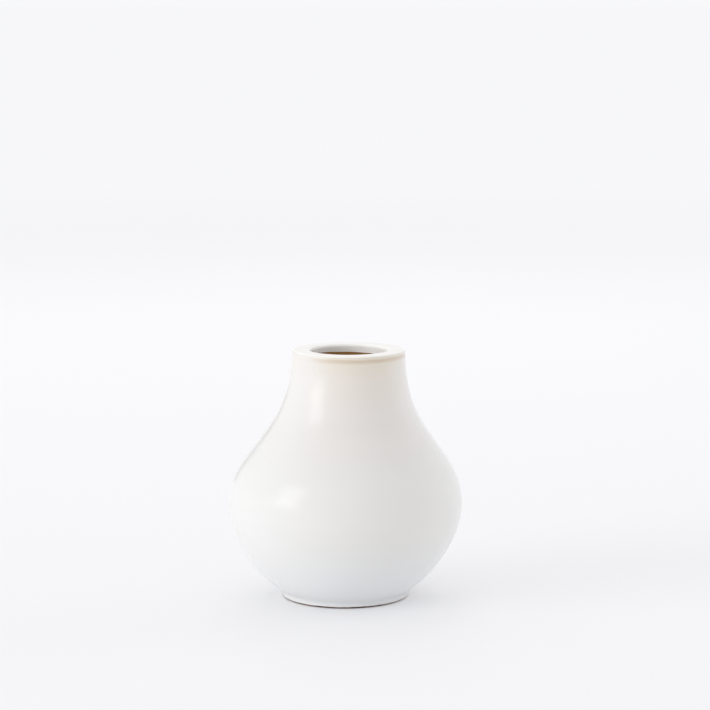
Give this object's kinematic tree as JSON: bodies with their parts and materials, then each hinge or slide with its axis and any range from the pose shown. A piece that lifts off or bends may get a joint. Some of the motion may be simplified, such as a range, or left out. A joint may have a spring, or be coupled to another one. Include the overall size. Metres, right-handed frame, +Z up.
{
  "type": "bud vase",
  "caption": "Small round-bellied ceramic bud vase with a short neck, a thick flat rim and a low turned foot ring, white glazed outside and dark glazed inside.",
  "frame": {"origin": "centre of the foot ring's flat face, on the surface that the vase stands on", "axes": "+Z up along the vase's axis of symmetry, towards the mouth; X and Y level and interchangeable"},
  "size_m": [0.0938, 0.0938, 0.1],
  "materials": {
    "bare_clay": "matte",
    "white_glaze": "satin",
    "dark_glaze": "gloss"
  },
  "bodies": {
    "root": {"clay_body": "bare_clay", "outer_glaze": "white_glaze", "liner_glaze": "dark_glaze", "base_glaze": "white_glaze"}
  },
  "joints": []
}
